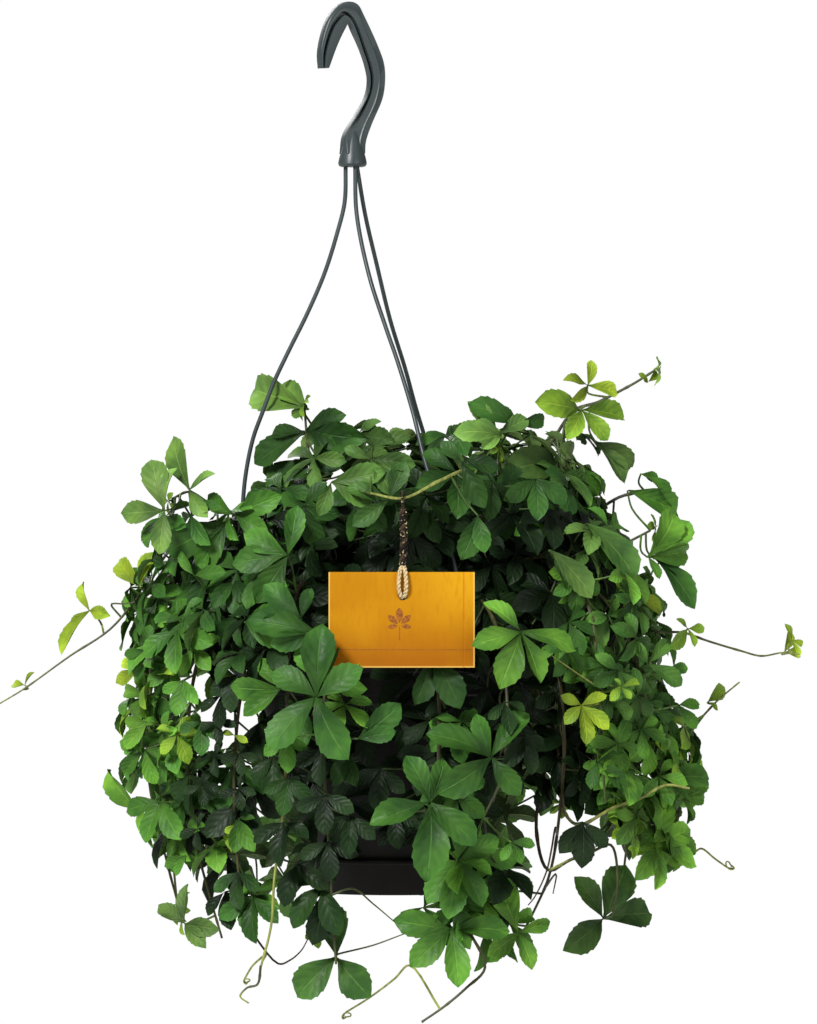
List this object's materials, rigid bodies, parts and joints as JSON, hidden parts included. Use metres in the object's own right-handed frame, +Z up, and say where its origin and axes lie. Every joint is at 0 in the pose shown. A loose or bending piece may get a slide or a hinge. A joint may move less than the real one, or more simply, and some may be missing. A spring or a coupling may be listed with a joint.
{
  "type": "potted grape ivy in a hanging pot",
  "caption": "Miniature grape ivy with trailing palmate leaves in a dark plastic hanging pot, on a one-piece strand hanger with an open hook, with an orange card tag tied on with twine.",
  "frame": {"origin": "the hook's seat: the middle of the inside of its crown, which bears on a rail, rod or pin", "axes": "+Z up along the hang, -Y to the front, where the tag hangs, +X to the right of the front view"},
  "size_m": [0.4803, 0.3658, 0.6129],
  "materials": {
    "hanger_plastic": "satin moulded plastic, dark grey-green",
    "pot_plastic": "semi-gloss moulded plastic, near black",
    "potting_mix": "moist peat and bark, matte",
    "card": "smooth orange card, matte",
    "twine": "twisted natural twine",
    "vine": "green to brown stems with glossy leaves",
    "leaf": "waxy leaves, semi-gloss above and paler below"
  },
  "bodies": {
    "root": {"drip_saucer": "pot_plastic", "hanger_hook": "hanger_plastic", "hanger_strand_back": "hanger_plastic", "hanger_strand_front": "hanger_plastic", "hanger_strand_left": "hanger_plastic", "leaf_behind_tag": "leaf", "leaf_below_right": "leaf", "leaf_dark_right": "leaf", "leaf_left_of_tag": "leaf", "leaf_low_centre": "leaf", "leaf_low_left": "leaf", "leaf_low_right": "leaf", "leaf_right_of_tag": "leaf", "leaf_top_left": "leaf", "leaf_top_right": "leaf", "leaf_trailing_centre": "leaf", "leaf_trailing_left": "leaf", "leaf_trailing_right": "leaf", "leaf_upper_left": "leaf", "leaf_young_right": "leaf", "pot": "pot_plastic", "potting_soil": "potting_mix", "runner_left": "vine", "runner_right": "vine", "tag_card": "card", "tag_twine": "twine", "vine_back_1": "vine", "vine_back_2": "vine", "vine_back_3": "vine", "vine_back_4": "vine", "vine_back_5": "vine", "vine_back_6": "vine", "vine_back_7": "vine", "vine_bottom_right": "vine", "vine_centre_left": "vine", "vine_crest": "vine", "vine_dark_leaf": "vine", "vine_front_centre": "vine", "vine_front_centre_left": "vine", "vine_front_centre_right": "vine", "vine_front_left": "vine", "vine_front_right": "vine", "vine_left": "vine", "vine_left_side": "vine", "vine_low_right": "vine", "vine_right": "vine", "vine_right_arch": "vine", "vine_right_short": "vine", "vine_right_side": "vine", "vine_tag": "vine", "vine_top": "vine", "vine_top_back_right": "vine", "vine_top_left": "vine", "vine_top_right": "vine", "vine_upper_left": "vine"}
  },
  "joints": []
}
